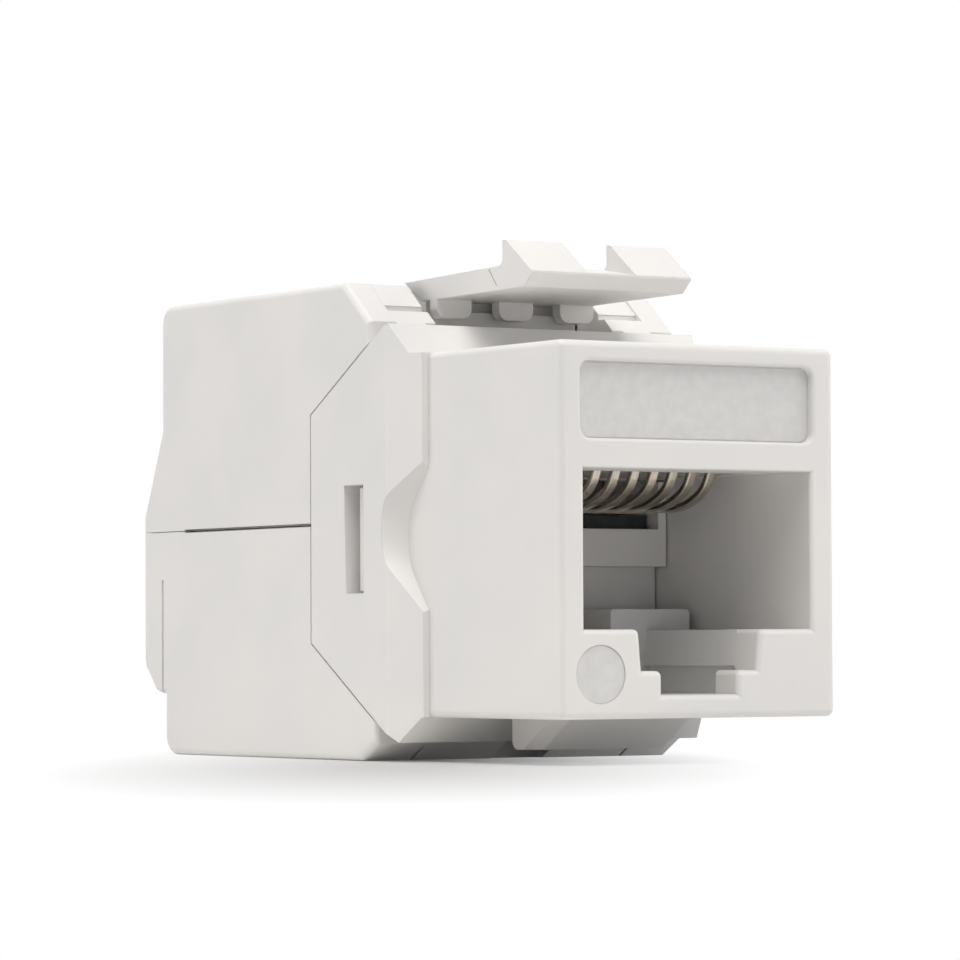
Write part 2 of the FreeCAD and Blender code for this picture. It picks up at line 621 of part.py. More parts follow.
def lower_wire_cap():
    top = PARTING + OVERRUN
    shell = across([
        (LOWER_FRONT, top), (LOWER_FRONT, LOWER_CHAMFER_Z), (LOWER_CHAMFER_Y, FLOOR_Z),
        (LOWER_REAR, FLOOR_Z, CAP_CORNER_R), (LOWER_REAR, BULGE_ROOT_Z), (BULGE_CHIN_Y, BULGE_CHIN_Z, BULGE_CHIN_R),
        (BULGE_REAR, BULGE_HEEL_Z, BULGE_HEEL_R), (BULGE_REAR, top),
    ], -REAR_W / 2, REAR_W / 2)
    outer = edges_where(shell, lambda b: b.XLength < NEAR and b.ZMin < PARTING)
    shell = shell.makeFillet(CAP_EDGE_R, outer)
    hollow = across([
        (BLOCK_FRONT - BLOCK_ROOM, top), (BLOCK_FRONT - BLOCK_ROOM, FLOOR_Z + CAP_WALL),
        (LOWER_REAR - CAP_WALL, FLOOR_Z + CAP_WALL), (LOWER_REAR - CAP_WALL, top),
    ], -CAP_IN, CAP_IN)
    above = block(-REAR_W, REAR_W, -1, FAR, PARTING - CAP_FIT / 2, FAR)
    notch = block(-FLOOR_NOTCH_W / 2, FLOOR_NOTCH_W / 2, -1, FLOOR_NOTCH_END, -FAR, FAR)
    slit = block(FLOOR_SLIT_X - FLOOR_SLIT_W / 2, FLOOR_SLIT_X + FLOOR_SLIT_W / 2, -1, FLOOR_NOTCH_END, -FAR,
                 FLOOR_Z + CAP_WALL)
    side_line = block(REAR_W / 2 - SIDE_LINE_D, FAR, SIDE_LINE_Y - SIDE_LINE_W / 2, SIDE_LINE_Y + SIDE_LINE_W / 2,
                      SIDE_LINE_BOTTOM, SIDE_LINE_TOP)
    shell = shell.cut([hollow, above, notch, plate_zone(), cable_hole()] + both(parting_groove()) + both(slit)
                      + both(side_line))
    ear = hinge_ear(LOWER_HINGE_Y, LOWER_HINGE_Z, -1, [
        (LOWER_FRONT, LOWER_CHAMFER_Z), (LOWER_CHAMFER_Y, FLOOR_Z + CAP_EDGE_R),
        (LOWER_CHAMFER_Y + EAR_LAP, FLOOR_Z + CAP_WALL),
    ])
    places = terminal_places(TERMINAL_LOWER_Y)
    bottom = PARTING - BOARD_T / 2 - BLOCK_H
    bars = pressers(places, bottom + PRESSER_DIP, FLOOR_Z + CAP_WALL / 2)
    return joined(shell, both(ear) + bars)


# ---------------------------------------------------------------- contact carrier, contacts
def contact_x():
    """Places of the plug contacts across the port."""
    return [(i - (CONTACT_COUNT - 1) / 2) * CONTACT_PITCH for i in range(CONTACT_COUNT)]


def contact_carrier():
    board_top = BOARD_Z + BOARD_T
    flange_end = BULKHEAD_END + FLANGE_T
    nose_half = PORT_W / 2 - SLIDE_FIT
    nose = across([
        (NOSE_FRONT, NOSE_STEP_Z), (NOSE_FRONT, NOSE_TOP), (BULKHEAD_END, NOSE_TOP),
        (BULKHEAD_END, PORT_FLOOR + SLIDE_FIT), (NOSE_FRONT + NOSE_STEP, PORT_FLOOR + SLIDE_FIT),
        (NOSE_FRONT + NOSE_STEP, NOSE_STEP_Z),
    ], -nose_half, nose_half)
    pillar = block(nose_half - PILLAR_W, nose_half, NOSE_FRONT, BULKHEAD_END, NOSE_STEP_Z, PORT_CEILING - SLIDE_FIT)
    tongue_bottom = PORT_CEILING + SLIDE_FIT
    tongue = block(-TONGUE_W / 2, TONGUE_W / 2, TONGUE_FRONT, BULKHEAD_END, tongue_bottom, tongue_bottom + TONGUE_H)
    flange_top = tongue_bottom + TONGUE_H
    flange = block(-EAR_OUT, EAR_OUT, BULKHEAD_END, flange_end, flange_top - FLANGE_H, flange_top)
    arm = block(EAR_OUT - ARM_T, EAR_OUT, BULKHEAD_END, ARM_END, WINDOW_Z, WINDOW_Z + WINDOW_H)
    body = joined(nose, [tongue, flange] + both(pillar) + both(arm) + both(window_catch()))
    room_half = nose_half - PILLAR_W
    contact_room = block(-room_half, room_half, NOSE_FRONT - 1, flange_end + 1, NOSE_TOP, PORT_CEILING)
    neck_slot = block(-room_half, room_half, BOARD_FRONT - SLIDE_FIT, flange_end + 1, BOARD_Z - SLIDE_FIT,
                      board_top + SLIDE_FIT)
    board_slot = block(-BOARD_W / 2 - SLIDE_FIT, BOARD_W / 2 + SLIDE_FIT, flange_end - FLANGE_T / 2, flange_end + 1,
                       BOARD_Z - SLIDE_FIT, board_top + SLIDE_FIT)
    comb = [block(x - COMB_W / 2, x + COMB_W / 2, COMB_FRONT, COMB_END, PORT_CEILING, tongue_bottom + COMB_H)
            for x in contact_x()]
    return body.cut([contact_room, neck_slot, board_slot] + comb)


def window_catch():
    """Ramped catch that snaps into the side plate's window."""
    front = WINDOW_Y + SLIDE_FIT
    rear = WINDOW_Y + WINDOW_L - CATCH_REAR_GAP
    return upward([
        (EAR_OUT - ARM_T, front), (EAR_OUT + CATCH_FRONT_OUT, front), (EAR_OUT + CATCH_REAR_OUT, rear),
        (EAR_OUT - ARM_T, rear),
    ], WINDOW_Z + SLIDE_FIT, WINDOW_Z + WINDOW_H - SLIDE_FIT)


def plug_contact(x):
    """Spring strip: flat on the board, a long bend, then a tighter curl up into the comb."""
    board_top = BOARD_Z + BOARD_T
    bend = math.radians(CONTACT_BEND_DEG)
    curl = math.radians(CONTACT_CURL_DEG)
    rear = BOARD_FRONT + CONTACT_LAP
    bend_centre = V(0, CONTACT_BEND_Y, board_top + CONTACT_BEND_R)
    inward = V(0, math.sin(bend), -math.cos(bend))
    curl_centre = bend_centre + V(0, -inward.y, inward.z) * (CONTACT_BEND_R - CONTACT_CURL_R)

    def on_arc(centre, radius, angle):
        return centre + V(0, -math.sin(angle), -math.cos(angle)) * radius

    def side(depth):
        """Corners of one face of the strip, from the tail to the tip, at a depth inside the outer face."""
        bend_r = CONTACT_BEND_R - depth
        curl_r = CONTACT_CURL_R - depth
        end = on_arc(curl_centre, curl_r, curl)
        tip = end + V(0, -math.cos(curl), math.sin(curl)) * CONTACT_TIP_L
        tail = V(0, rear, board_top + depth)
        start = on_arc(bend_centre, bend_r, 0)
        middle = on_arc(bend_centre, bend_r, bend)
        return tail, tip, [
            Part.LineSegment(tail, start).toShape(),
            Part.Arc(start, on_arc(bend_centre, bend_r, bend / 2), middle).toShape(),
            Part.Arc(middle, on_arc(curl_centre, curl_r, (bend + curl) / 2), end).toShape(),
            Part.LineSegment(end, tip).toShape(),
        ]

    outer_tail, outer_tip, outer = side(0)
    inner_tail, inner_tip, inner = side(CONTACT_T)
    ends = [Part.LineSegment(outer_tip, inner_tip).toShape(), Part.LineSegment(inner_tail, outer_tail).toShape()]
    strip = Part.Face(Part.Wire(Part.__sortEdges__(outer + inner + ends))).extrude(V(CONTACT_W, 0, 0))
    strip.translate(V(x - CONTACT_W / 2, 0, 0))
    long_edges = edges_where(strip, lambda b: b.XLength < NEAR and b.YLength > CONTACT_T)
    return strip.makeChamfer(CONTACT_EDGE, long_edges)


# ---------------------------------------------------------------- board, blocks, terminals
def terminal_places(first_y):
    """(x, y) of one side's four terminals, every other one set back."""
    middle = (TERMINAL_COUNT - 1) / 2
    return [((i - middle) * TERMINAL_PITCH, first_y + (i % 2) * TERMINAL_STAGGER) for i in range(TERMINAL_COUNT)]


def circuit_board():
    neck = PORT_W / 2 - SLIDE_FIT - PILLAR_W - BOARD_SIDE_GAP
    board = upward([
        (-BOARD_W / 2, BOARD_NECK_END), (-neck, BOARD_NECK_END), (-neck, BOARD_FRONT), (neck, BOARD_FRONT),
        (neck, BOARD_NECK_END), (BOARD_W / 2, BOARD_NECK_END), (BOARD_W / 2, BLOCK_END), (-BOARD_W / 2, BLOCK_END),
    ], BOARD_Z, BOARD_Z + BOARD_T)
    half_w = TERMINAL_PIN_W / 2 + TERMINAL_FIT
    half_t = TERMINAL_T / 2 + TERMINAL_FIT
    holes = [block(x - half_w, x + half_w, y - half_t, y + half_t, BOARD_Z - 1, BOARD_Z + BOARD_T + 1)
             for x, y in terminal_places(TERMINAL_UPPER_Y) + terminal_places(TERMINAL_LOWER_Y)]
    return board.cut(holes)


def idc_block(first_y):
    """Terminal block above the board; the lower one is this one turned over."""
    base = BOARD_Z + BOARD_T
    top = base + BLOCK_H
    body = block(-BLOCK_W / 2, BLOCK_W / 2, BLOCK_FRONT, BLOCK_END, base, top)
    cuts = []
    for x, y in terminal_places(first_y):
        cuts.append(along([
            (x - GROOVE_W / 2, base + GROOVE_FLOOR), (x + GROOVE_W / 2, base + GROOVE_FLOOR),
            (x + GROOVE_W / 2, top - GROOVE_LEAD), (x + GROOVE_W / 2 + GROOVE_LEAD, top + NEAR),
            (x - GROOVE_W / 2 - GROOVE_LEAD, top + NEAR), (x - GROOVE_W / 2, top - GROOVE_LEAD),
        ], BLOCK_FRONT - 1, BLOCK_END + 1))
        half_w = TERMINAL_W / 2 + TERMINAL_FIT
        half_t = TERMINAL_T / 2 + TERMINAL_FIT
        cuts.append(block(x - half_w, x + half_w, y - half_t, y + half_t, base - 1, top + 1))
    return body.cut(cuts)


def idc_terminal(x, y):
    """Forked blade that bites one wire, with a pin through the board."""
    base = BOARD_Z + BOARD_T
    top = base + TERMINAL_H
    slit_top = top - TERMINAL_MOUTH_D
    slit_bottom = base + TERMINAL_SLIT_BOTTOM
    half = TERMINAL_W / 2
    side = [
        (TERMINAL_SLIT / 2, slit_bottom), (TERMINAL_SLIT / 2, slit_top), (TERMINAL_MOUTH / 2, top),
        (half - TERMINAL_CORNER, top), (half, top - TERMINAL_CORNER), (half, base), (TERMINAL_PIN_W / 2, base),
        (TERMINAL_PIN_W / 2, BOARD_Z),
    ]
    outline = [(x + a, z) for a, z in side] + [(x - a, z) for a, z in reversed(side)]
    return along(outline, y - TERMINAL_T / 2, y + TERMINAL_T / 2)


def turned_over(shape):
    """The same piece on the underside of the board."""
    return shape.mirror(V(0, 0, PARTING), V(0, 0, 1))


# ---------------------------------------------------------------- all pieces
keep("front_housing", front_housing())
keep("panel_latch", panel_latch())
keep("upper_wire_cap", upper_wire_cap())
keep("lower_wire_cap", lower_wire_cap())
keep("contact_carrier", contact_carrier())
for number, place in enumerate(contact_x(), start=1):
    keep("plug_contact_%d" % number, plug_contact(place))
keep("circuit_board", circuit_board())
keep("idc_block_upper", idc_block(TERMINAL_UPPER_Y))
keep("idc_block_lower", turned_over(idc_block(TERMINAL_LOWER_Y)))
for number, (x, y) in enumerate(terminal_places(TERMINAL_UPPER_Y), start=1):
    keep("idc_terminal_%d" % number, idc_terminal(x, y))
for number, (x, y) in enumerate(terminal_places(TERMINAL_LOWER_Y), start=TERMINAL_COUNT + 1):
    keep("idc_terminal_%d" % number, turned_over(idc_terminal(x, y)))
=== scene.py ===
"""White toolless keystone jack on a pale table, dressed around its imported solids."""
import bmesh
import bpy
import math
from mathutils import Matrix, Vector


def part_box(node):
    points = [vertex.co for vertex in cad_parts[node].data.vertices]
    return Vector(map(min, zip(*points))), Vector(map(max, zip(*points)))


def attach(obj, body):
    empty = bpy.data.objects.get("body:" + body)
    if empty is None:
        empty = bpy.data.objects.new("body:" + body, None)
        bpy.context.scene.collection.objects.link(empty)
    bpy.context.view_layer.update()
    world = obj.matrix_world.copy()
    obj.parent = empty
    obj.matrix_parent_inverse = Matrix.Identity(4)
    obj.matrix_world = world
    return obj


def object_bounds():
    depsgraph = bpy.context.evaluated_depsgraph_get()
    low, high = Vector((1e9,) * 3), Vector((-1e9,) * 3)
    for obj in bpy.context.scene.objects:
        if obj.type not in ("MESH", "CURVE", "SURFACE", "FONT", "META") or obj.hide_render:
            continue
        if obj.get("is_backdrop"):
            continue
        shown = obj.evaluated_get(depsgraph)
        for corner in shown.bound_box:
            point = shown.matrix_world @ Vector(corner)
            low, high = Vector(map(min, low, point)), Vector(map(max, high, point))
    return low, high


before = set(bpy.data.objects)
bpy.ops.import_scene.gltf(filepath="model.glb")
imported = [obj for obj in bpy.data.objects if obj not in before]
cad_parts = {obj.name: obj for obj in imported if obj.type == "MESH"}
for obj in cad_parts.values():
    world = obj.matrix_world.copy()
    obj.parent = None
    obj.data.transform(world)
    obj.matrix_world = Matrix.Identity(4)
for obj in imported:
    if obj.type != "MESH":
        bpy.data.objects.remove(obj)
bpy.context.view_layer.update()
scene = bpy.context.scene
MM = 0.001

# ------------------------------------------------------------------------------------------------
# Housing, latch, wire caps and contact carrier. White ABS, injection moulded in finely blasted
# steel tools: an even, faintly warm white with a soft sheen and edges eased by the mould. The
# tone drifts a little where the walls shrank.
# ------------------------------------------------------------------------------------------------


def linear(code):
    """Linear colour of an sRGB hex value."""
    parts = [int(code[i:i + 2], 16) / 255 for i in (1, 3, 5)]
    return [c / 12.92 if c <= 0.04045 else ((c + 0.055) / 1.055) ** 2.4 for c in parts] + [1.0]


def add(tree, kind, inputs=None, **settings):
    """One node with its settings and its links or values."""
    made = tree.nodes.new(kind)
    for key, value in settings.items():
        setattr(made, key, value)
    for socket, value in (inputs or {}).items():
        if isinstance(value, bpy.types.NodeSocket):
            tree.links.new(value, made.inputs[socket])
        else:
            made.inputs[socket].default_value = value
    return made


def new_material(name):
    """Empty material, its node tree and its output node."""
    made = bpy.data.materials.new(name)
    made.use_nodes = True
    made.node_tree.nodes.clear()
    return made, made.node_tree, made.node_tree.nodes.new("ShaderNodeOutputMaterial")


def mixed(tree, share, tone, other_tone):
    """Colour output that goes from one sRGB hex tone to another with a share."""
    return add(tree, "ShaderNodeMix", {0: share, 6: linear(tone), 7: linear(other_tone)},
               data_type="RGBA").outputs[2]


def wear(nodes, made):
    """Put a material on CAD nodes."""
    for name in nodes:
        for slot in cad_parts[name].material_slots:
            slot.material = made


SHEEN_SWING = 0.05
GRAIN_STRENGTH = 0.35
EDGE_SAMPLES = 4


def moulded_plastic(name, tone, deep_tone, ior, roughness, grain_mm, grain_depth_mm, drift_mm,
                    edge_mm):
    """Moulded plastic: tone that drifts with the walls, a blasted grain, and eased edges."""
    made, tree, output = new_material(name)
    place = add(tree, "ShaderNodeTexCoord").outputs["Object"]
    drift = add(tree, "ShaderNodeTexNoise", {
        "Vector": place, "Scale": 1 / (drift_mm * MM), "Detail": 2.0})
    spread = add(tree, "ShaderNodeMapRange", {
        "Value": drift.outputs["Fac"], "From Min": 0.3, "From Max": 0.7})
    tones = mixed(tree, spread.outputs[0], tone, deep_tone)
    grain = add(tree, "ShaderNodeTexNoise", {
        "Vector": place, "Scale": 1 / (grain_mm * MM), "Detail": 3.0})
    sheen = add(tree, "ShaderNodeMapRange", {
        "Value": grain.outputs["Fac"], "To Min": roughness - SHEEN_SWING,
        "To Max": roughness + SHEEN_SWING})
    eased = add(tree, "ShaderNodeBevel", {"Radius": edge_mm * MM}, samples=EDGE_SAMPLES)
    relief = add(tree, "ShaderNodeBump", {
        "Height": grain.outputs["Fac"], "Normal": eased.outputs["Normal"],
        "Strength": GRAIN_STRENGTH, "Distance": grain_depth_mm * MM})
    shader = add(tree, "ShaderNodeBsdfPrincipled", {
        "Base Color": tones, "Roughness": sheen.outputs[0], "IOR": ior,
        "Normal": relief.outputs["Normal"]})
    tree.links.new(shader.outputs["BSDF"], output.inputs["Surface"])
    return made


ABS_TONE = "#EAE8E5"
ABS_DEEP_TONE = "#E4E3E1"
ABS_IOR = 1.54
ABS_ROUGHNESS = 0.44
BLAST_MM = 0.14
BLAST_DEPTH_MM = 0.012
SHRINK_MM = 5.0
MOULD_EDGE_MM = 0.07

moulded_abs = moulded_plastic("moulded_white_abs", ABS_TONE, ABS_DEEP_TONE, ABS_IOR, ABS_ROUGHNESS,
                              BLAST_MM, BLAST_DEPTH_MM, SHRINK_MM, MOULD_EDGE_MM)
wear(["front_housing", "panel_latch", "upper_wire_cap", "lower_wire_cap", "contact_carrier"],
     moulded_abs)

# ------------------------------------------------------------------------------------------------
# Label field and round pad on the plug face. The same ABS, where the tool was textured by spark
# erosion instead of blasting: both are left bare and look a shade greyer and drier.
# ------------------------------------------------------------------------------------------------
FIELD_W = 12.1 * MM
FIELD_H = 3.2 * MM
FIELD_R = 0.45 * MM
FIELD_BOTTOM = 11.95 * MM
FIELD_DEPTH = 0.4 * MM
PAD_R = 1.245 * MM
PAD_X = -5.15 * MM
PAD_Z = 1.9 * MM
PAD_DEPTH = 0.06 * MM
SKIN = 0.02 * MM
BOX_ABOVE_HOOK = 1.43 * MM
SPARK_TONE = "#DDDCDA"
SPARK_DEEP_TONE = "#D6D5D4"
SPARK_MOTTLE_MM = 0.5
SPARK_ROUGHNESS = 0.6
SPARK_MM = 0.09
SPARK_DEPTH_MM = 0.03

front_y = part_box("front_housing")[0][1]
front_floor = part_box("front_housing")[0][2] + BOX_ABOVE_HOOK
spark_abs = moulded_plastic("spark_textured_abs", SPARK_TONE, SPARK_DEEP_TONE, ABS_IOR,
                            SPARK_ROUGHNESS, SPARK_MM, SPARK_DEPTH_MM, SPARK_MOTTLE_MM,
                            MOULD_EDGE_MM)


def raised(shape, corners, lift):
    """Add a flat loop of corners to a shape and extrude it by a vector."""
    face = shape.faces.new([shape.verts.new(corner) for corner in corners])
    lifted = bmesh.ops.extrude_face_region(shape, geom=[face])
    moved = [v for v in lifted["geom"] if isinstance(v, bmesh.types.BMVert)]
    bmesh.ops.translate(shape, verts=moved, vec=lift)


def new_piece(name, shape, material):
    """Object in the scene made from a finished shape."""
    bmesh.ops.recalc_face_normals(shape, faces=shape.faces)
    mesh = bpy.data.meshes.new(name)
    shape.to_mesh(mesh)
    shape.free()
    mesh.materials.append(material)
    made = bpy.data.objects.new(name, mesh)
    scene.collection.objects.link(made)
    return made


def skin_piece(name, outline, depth):
    """Thin skin lying on a recess of the plug face; outline is a loop of (x, z) points."""
    shape = bmesh.new()
    raised(shape, [(x, front_y + depth, z) for x, z in outline], (0, -SKIN, 0))
    made = new_piece(name, shape, spark_abs)
    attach(made, "housing")


def corner_arc(cx, cz, radius, start, steps=8):
    """Quarter arc of points from a start angle in degrees."""
    turns = [math.radians(start + 90 * i / steps) for i in range(steps + 1)]
    return [(cx + radius * math.cos(t), cz + radius * math.sin(t)) for t in turns]


left, right = -FIELD_W / 2 + FIELD_R, FIELD_W / 2 - FIELD_R
low = front_floor + FIELD_BOTTOM + FIELD_R
high = front_floor + FIELD_BOTTOM + FIELD_H - FIELD_R
field = (corner_arc(right, high, FIELD_R, 0) + corner_arc(left, high, FIELD_R, 90)
         + corner_arc(left, low, FIELD_R, 180) + corner_arc(right, low, FIELD_R, 270))
skin_piece("label_field", field, FIELD_DEPTH)
pad = [point for start in (0, 90, 180, 270)
       for point in corner_arc(PAD_X, front_floor + PAD_Z, PAD_R, start, 16)[:-1]]
skin_piece("round_pad", pad, PAD_DEPTH)

# ------------------------------------------------------------------------------------------------
# Terminal blocks. Unpigmented polycarbonate, moulded: harder, a little creamier and glossier
# than the caps that close over it.
# ------------------------------------------------------------------------------------------------
BLOCK_TONE = "#E2E0D8"
BLOCK_DEEP_TONE = "#DAD8CF"
BLOCK_IOR = 1.585
BLOCK_ROUGHNESS = 0.32

block_plastic = moulded_plastic("moulded_polycarbonate", BLOCK_TONE, BLOCK_DEEP_TONE, BLOCK_IOR,
                                BLOCK_ROUGHNESS, BLAST_MM, BLAST_DEPTH_MM / 2, SHRINK_MM,
                                MOULD_EDGE_MM)
wear(["idc_block_upper", "idc_block_lower"], block_plastic)

# ------------------------------------------------------------------------------------------------
# Plug contacts. Phosphor bronze strip, blanked, bent and plated with nickel under a thin gold:
# a pale champagne tone streaked with darker brown along fine drawing lines.
# ------------------------------------------------------------------------------------------------
PLATE_TONE = "#EDE6D8"
# Darker brown streaks in the colour, laid by the drawing-line pattern.
PLATE_BROWN_TONE = "#877A68"
PLATE_ROUGHNESS = 0.17
PLATE_POLISH = 0.06
PLATE_SCUFF = 0.1
PLATE_EDGE_MM = 0.08
PLATE_EDGE_SAMPLES = 6
DRAWN_LINE_MM = 0.03
DRAWN_RUN_MM = 1.5
DRAWN_DEPTH_MM = 0.004
METAL_RELIEF = 0.2

plating, tree, output = new_material("gold_plated_phosphor_bronze")
place = add(tree, "ShaderNodeTexCoord").outputs["Object"]
run = add(tree, "ShaderNodeMapping", {
    "Vector": place,
    "Scale": (1 / (DRAWN_LINE_MM * MM), 1 / (DRAWN_RUN_MM * MM), 1 / (DRAWN_RUN_MM * MM))})
lines = add(tree, "ShaderNodeTexNoise", {"Vector": run.outputs[0], "Scale": 1.0, "Detail": 2.0})
tones = mixed(tree, lines.outputs["Fac"], PLATE_TONE, PLATE_BROWN_TONE)
polish = add(tree, "ShaderNodeMapRange", {
    "Value": lines.outputs["Fac"], "To Min": PLATE_ROUGHNESS - PLATE_POLISH,
    "To Max": PLATE_ROUGHNESS + PLATE_SCUFF})
eased = add(tree, "ShaderNodeBevel", {"Radius": PLATE_EDGE_MM * MM}, samples=PLATE_EDGE_SAMPLES)
drawn = add(tree, "ShaderNodeBump", {
    "Height": lines.outputs["Fac"], "Normal": eased.outputs["Normal"], "Strength": METAL_RELIEF,
    "Distance": DRAWN_DEPTH_MM * MM})
shader = add(tree, "ShaderNodeBsdfPrincipled", {
    "Base Color": tones, "Metallic": 1.0, "Roughness": polish.outputs[0],
    "Normal": drawn.outputs["Normal"]})
tree.links.new(shader.outputs["BSDF"], output.inputs["Surface"])
wear(["plug_contact_%d" % number for number in range(1, 9)], plating)

# ------------------------------------------------------------------------------------------------
# Circuit board. Glass-fibre laminate under near-black solder mask; the weave shows faintly through
# the gloss. Tracks run under the mask from the contact tails back to the terminals.
# ------------------------------------------------------------------------------------------------
MASK_TONE = "#2C3234"
MASK_DEEP_TONE = "#23292B"
MASK_ROUGHNESS = 0.25
WEAVE_MM = 0.5
WEAVE_BAND = 0.16
WEAVE_WANDER = 0.6
WEAVE_STRENGTH = 0.15
WEAVE_DEPTH_MM = 0.01
TRACK_TONE = "#3B4345"
TRACK_MOTTLE_MM = 0.4
TRACK_W = 0.25 * MM
TRACK_T = 0.035 * MM
TRACK_STRAIGHT = 1.0 * MM
TRACK_FROM_EDGE = 1.35 * MM
TRACK_SHORT = 0.5 * MM

mask, tree, output = new_material("black_solder_mask")
place = add(tree, "ShaderNodeTexCoord").outputs["Object"]
warp, weft = [add(tree, "ShaderNodeTexWave", {
    "Vector": place, "Scale": WEAVE_BAND / (WEAVE_MM * MM), "Distortion": WEAVE_WANDER},
    bands_direction=way) for way in "XY"]
cloth = add(tree, "ShaderNodeMath", {0: warp.outputs["Fac"], 1: weft.outputs["Fac"]},
            operation="MULTIPLY")
tones = mixed(tree, cloth.outputs[0], MASK_TONE, MASK_DEEP_TONE)
relief = add(tree, "ShaderNodeBump", {
    "Height": cloth.outputs[0], "Strength": WEAVE_STRENGTH, "Distance": WEAVE_DEPTH_MM * MM})
shader = add(tree, "ShaderNodeBsdfPrincipled", {
    "Base Color": tones, "Roughness": MASK_ROUGHNESS, "Normal": relief.outputs["Normal"]})
tree.links.new(shader.outputs["BSDF"], output.inputs["Surface"])
wear(["circuit_board"], mask)

track_mask, tree, output = new_material("black_mask_over_copper")
place = add(tree, "ShaderNodeTexCoord").outputs["Object"]
uneven = add(tree, "ShaderNodeTexNoise", {
    "Vector": place, "Scale": 1 / (TRACK_MOTTLE_MM * MM), "Detail": 2.0})
tones = mixed(tree, uneven.outputs["Fac"], TRACK_TONE, MASK_TONE)
shader = add(tree, "ShaderNodeBsdfPrincipled", {"Base Color": tones, "Roughness": MASK_ROUGHNESS})
tree.links.new(shader.outputs["BSDF"], output.inputs["Surface"])


def middle(node):
    """Middle of a node's box."""
    lowest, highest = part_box(node)
    return (Vector(lowest) + Vector(highest)) / 2


def board_track(name, start, end, surface, outward):
    """Flat track: straight back from start, across at 45 degrees, then straight to end."""
    sideways = end.x - start.x
    bend = start.y + TRACK_STRAIGHT
    path = [Vector((start.x, start.y)), Vector((start.x, bend)),
            Vector((end.x, bend + abs(sideways))), Vector((end.x, end.y))]
    shape = bmesh.new()
    for first, second in zip(path, path[1:]):
        run = (second - first).normalized()
        side = Vector((-run.y, run.x)) * TRACK_W / 2
        ends = (first - run * TRACK_W / 4, second + run * TRACK_W / 4)
        corners = [ends[0] - side, ends[0] + side, ends[1] + side, ends[1] - side]
        raised(shape, [(c.x, c.y, surface) for c in corners], (0, 0, outward * TRACK_T))
    made = new_piece(name, shape, track_mask)
    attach(made, "housing")


board_low, board_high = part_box("circuit_board")
tail_y = board_low[1] + TRACK_FROM_EDGE
UPPER_PAIRS = ((1, 1), (3, 2), (6, 3), (8, 4))
LOWER_PAIRS = ((2, 5), (4, 6), (5, 7), (7, 8))
for surface, outward, pairs in ((board_high[2], 1, UPPER_PAIRS), (board_low[2], -1, LOWER_PAIRS)):
    for contact, terminal in pairs:
        start = Vector((middle("plug_contact_%d" % contact).x, tail_y))
        blade = middle("idc_terminal_%d" % terminal)
        end = Vector((blade.x, blade.y - TRACK_SHORT))
        board_track("board_track_%d" % contact, start, end, surface, outward)

# ------------------------------------------------------------------------------------------------
# Insulation-displacement terminals. Phosphor bronze blades with a matt tin plate: cool satin
# grey, a little streaked by the stamping.
# ------------------------------------------------------------------------------------------------
TIN_TONE = "#C6C5C1"
TIN_DULL_TONE = "#A9A8A3"
TIN_ROUGHNESS = 0.36
TIN_EDGE_MM = 0.04
STREAK_MM = 0.06
STREAK_RUN_MM = 0.72
STREAK_DEPTH_MM = 0.005

tin, tree, output = new_material("matt_tinned_bronze")
place = add(tree, "ShaderNodeTexCoord").outputs["Object"]
run = add(tree, "ShaderNodeMapping", {
    "Vector": place,
    "Scale": (1 / (STREAK_MM * MM), 1 / (STREAK_MM * MM), 1 / (STREAK_RUN_MM * MM))})
streaks = add(tree, "ShaderNodeTexNoise", {"Vector": run.outputs[0], "Scale": 1.0, "Detail": 3.0})
tones = mixed(tree, streaks.outputs["Fac"], TIN_TONE, TIN_DULL_TONE)
eased = add(tree, "ShaderNodeBevel", {"Radius": TIN_EDGE_MM * MM}, samples=EDGE_SAMPLES)
relief = add(tree, "ShaderNodeBump", {
    "Height": streaks.outputs["Fac"], "Normal": eased.outputs["Normal"], "Strength": METAL_RELIEF,
    "Distance": STREAK_DEPTH_MM * MM})
shader = add(tree, "ShaderNodeBsdfPrincipled", {
    "Base Color": tones, "Metallic": 1.0, "Roughness": TIN_ROUGHNESS,
    "Normal": relief.outputs["Normal"]})
tree.links.new(shader.outputs["BSDF"], output.inputs["Surface"])
wear(["idc_terminal_%d" % number for number in range(1, 9)], tin)

# ------------------------------------------------------------------------------------------------
# Table. A white sheet under the jack. A turned oval round the jack's foot is painted shade: grey
# paper that the eye sees, which also takes the real shadow; it fades to a sheet that is plain
# white to the eye, as a lit sweep is.
# ------------------------------------------------------------------------------------------------
SWEEP_TONE = "#F2F1EF"
# Painted shade: grey paper seen by the eye in a turned oval round the jack's foot, fading to
# white; it takes the real shadow too.
SWEEP_PAINTED_SHADE_TONE = "#C3C3C2"
PAINTED_SHADE_X = -10.7 * MM
PAINTED_SHADE_Y = -10.8 * MM
PAINTED_SHADE_TURN = -32.67
PAINTED_SHADE_HALF_W = 15.0 * MM
PAINTED_SHADE_HALF_L = 50.0 * MM
PAINTED_SHADE_CORE = 0.1
SWEEP_HALF = 3.0


def seen_rays(tree):
    """One for rays that come straight, mirrored or refracted from the eye, else nought."""
    rays = add(tree, "ShaderNodeLightPath")
    mirror = add(tree, "ShaderNodeMath", {
        0: rays.outputs["Is Camera Ray"], 1: rays.outputs["Is Glossy Ray"]}, operation="MAXIMUM")
    seen_by_eye = add(tree, "ShaderNodeMath", {
        0: mirror.outputs[0], 1: rays.outputs["Is Transmission Ray"]}, operation="MAXIMUM")
    return seen_by_eye.outputs[0]


